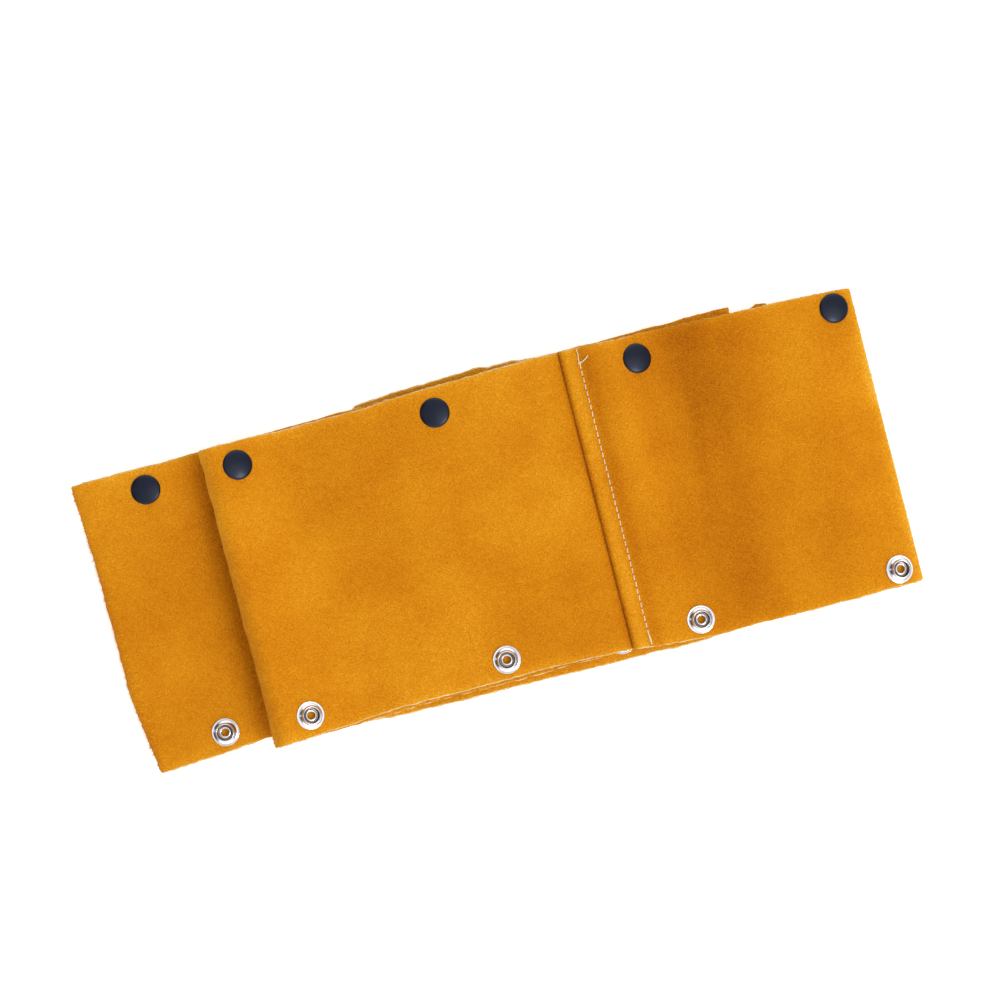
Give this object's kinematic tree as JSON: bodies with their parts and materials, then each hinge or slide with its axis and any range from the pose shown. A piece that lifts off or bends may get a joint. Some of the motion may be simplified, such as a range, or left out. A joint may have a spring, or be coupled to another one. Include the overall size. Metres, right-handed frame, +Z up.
{
  "type": "cable cover",
  "caption": "Long suede leather welding cable cover with snap-fastened edges, sewn from hides and folded zigzag into a flat stack.",
  "frame": {"origin": "centre of the folded stack's box, on the surface that it lies on", "axes": "+X along the strip towards its loose top end, +Y across the strip towards the capped edge, +Z up"},
  "size_m": [0.4022, 0.1614, 0.0372],
  "materials": {
    "suede": "napped suede split, matt",
    "cap_enamel": "blue-black enamel, satin",
    "nickel": "bright nickel plate",
    "spring_wire": "drawn wire",
    "thread": "undyed twisted sewing thread"
  },
  "bodies": {
    "panel_1": {"fold_1_bend": "suede", "panel_1_caps": "cap_enamel", "panel_1_closing_stitch": "thread", "panel_1_eyelets": "nickel", "panel_1_left_hide": "suede", "panel_1_right_hide": "suede", "panel_1_socket_springs": "spring_wire", "panel_1_sockets": "nickel", "panel_1_studs": "nickel", "panel_1_topstitch": "thread"},
    "panel_2": {"fold_2_bend": "suede", "panel_2_caps": "cap_enamel", "panel_2_eyelets": "nickel", "panel_2_hide": "suede", "panel_2_socket_springs": "spring_wire", "panel_2_sockets": "nickel", "panel_2_studs": "nickel"},
    "panel_3": {"fold_3_bend": "suede", "panel_3_caps": "cap_enamel", "panel_3_closing_stitch": "thread", "panel_3_eyelets": "nickel", "panel_3_left_hide": "suede", "panel_3_right_hide": "suede", "panel_3_socket_springs": "spring_wire", "panel_3_sockets": "nickel", "panel_3_studs": "nickel", "panel_3_topstitch": "thread"},
    "panel_4": {"fold_4_bend": "suede", "panel_4_caps": "cap_enamel", "panel_4_eyelets": "nickel", "panel_4_hide": "suede", "panel_4_socket_springs": "spring_wire", "panel_4_sockets": "nickel", "panel_4_studs": "nickel"},
    "panel_5": {"panel_5_caps": "cap_enamel", "panel_5_closing_stitch": "thread", "panel_5_eyelets": "nickel", "panel_5_left_hide": "suede", "panel_5_right_hide": "suede", "panel_5_socket_springs": "spring_wire", "panel_5_sockets": "nickel", "panel_5_studs": "nickel", "panel_5_topstitch": "thread"}
  },
  "joints": [
    {"name": "fold_1_turn", "type": "hinge", "parent": "panel_1", "child": "panel_2", "pos_m": [0.14281, -0.0029, 0.0072], "axis": [0, 1, 0], "range_deg": [0, 180], "deforming": ["fold_1_bend"]},
    {"name": "fold_2_turn", "type": "hinge", "parent": "panel_2", "child": "panel_3", "pos_m": [-0.19827, -0.0031, 0.0126], "axis": [0.0489, -0.9988, 0], "range_deg": [0, 180], "deforming": ["fold_2_bend"]},
    {"name": "fold_3_turn", "type": "hinge", "parent": "panel_3", "child": "panel_4", "pos_m": [0.19991, -0.0029, 0.018], "axis": [0, 1, 0], "range_deg": [0, 180], "deforming": ["fold_3_bend"]},
    {"name": "fold_4_turn", "type": "hinge", "parent": "panel_4", "child": "panel_5", "pos_m": [-0.13661, -0.0029, 0.02759], "axis": [0, -1, 0], "range_deg": [0, 175], "deforming": ["fold_4_bend"]}
  ],
  "couplings": [
    {"joint": "fold_2_turn", "follows": "fold_1_turn", "ratio": 1}
  ]
}
